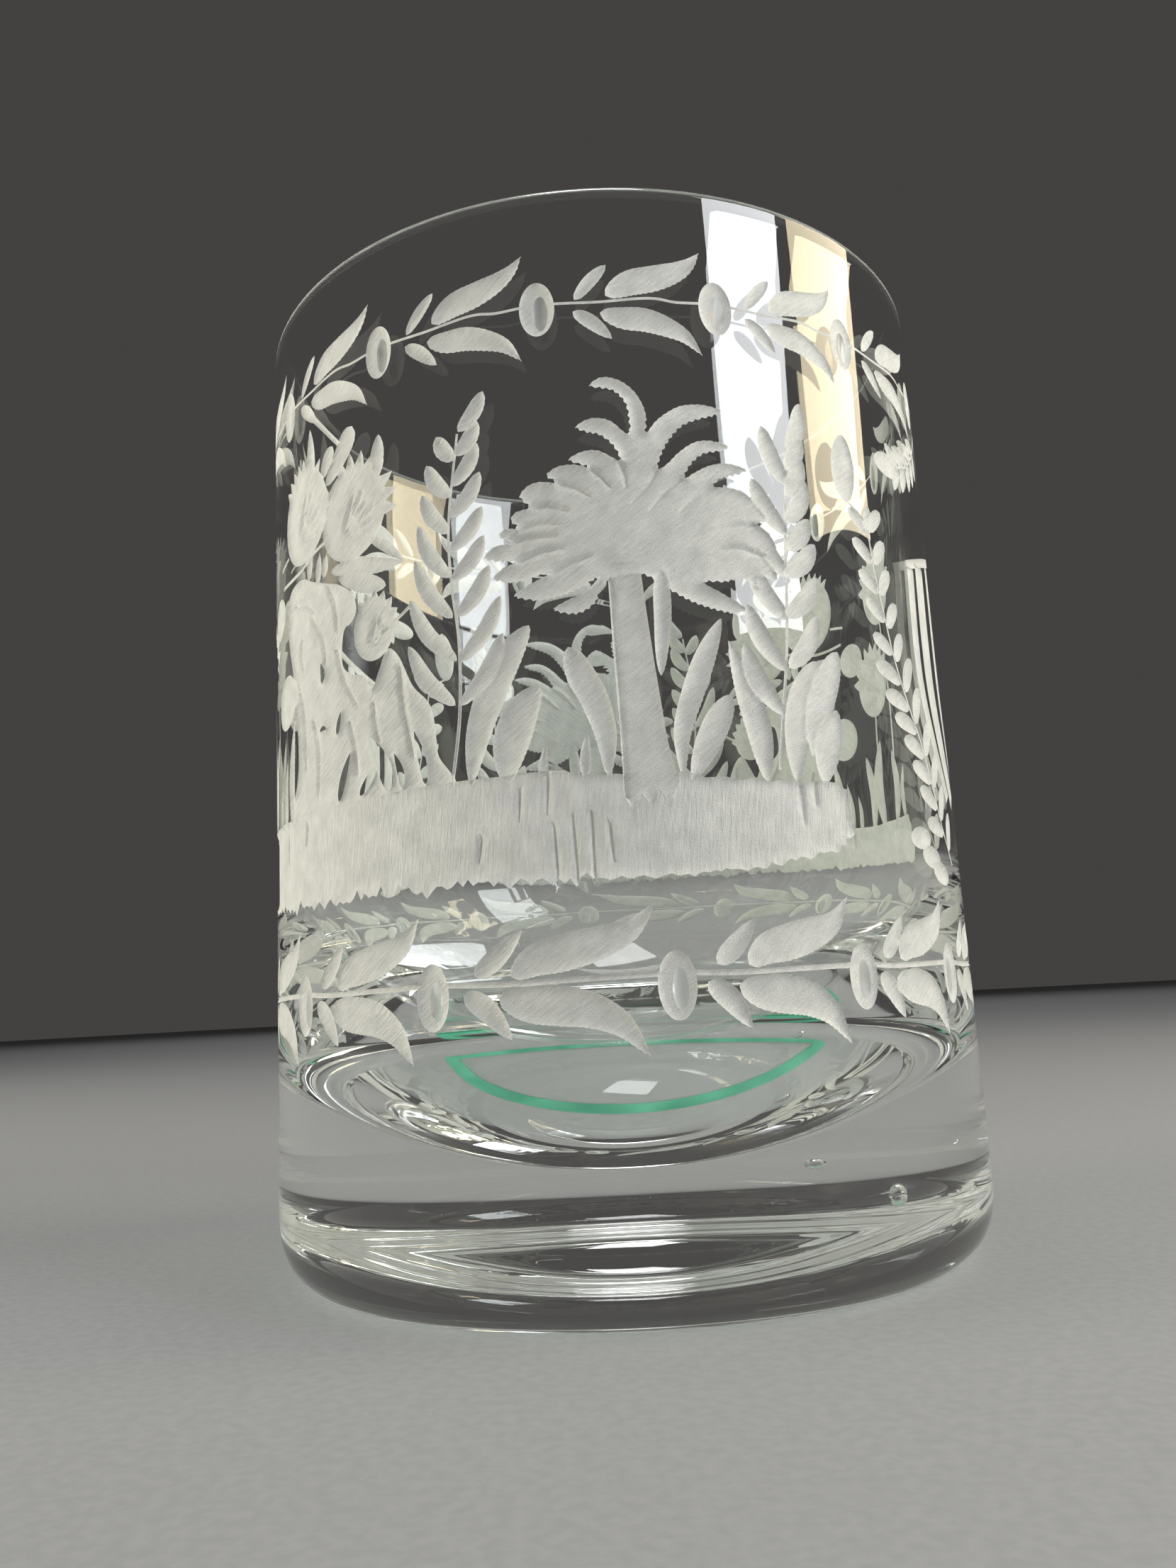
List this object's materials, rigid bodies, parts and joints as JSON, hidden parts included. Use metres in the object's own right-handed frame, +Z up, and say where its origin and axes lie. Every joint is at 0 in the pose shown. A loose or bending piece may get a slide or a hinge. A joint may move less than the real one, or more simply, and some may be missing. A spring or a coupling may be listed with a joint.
{
  "type": "whiskey tumbler",
  "caption": "Straight-sided clear glass tumbler with a heavy rounded base and frosted tropical engraving round the wall.",
  "frame": {"origin": "centre of the foot's flat underside, at the lowest point of the glass", "axes": "+Z up the glass's own axis, from the foot to the rim; +Y away from the viewer who looks at the palm tree side"},
  "size_m": [0.0788, 0.0788, 0.106],
  "materials": {
    "glass": "fire-polished clear glass, wheel-engraved with frosted foliage"
  },
  "bodies": {
    "root": {"tumbler_glass": "glass"}
  },
  "joints": []
}
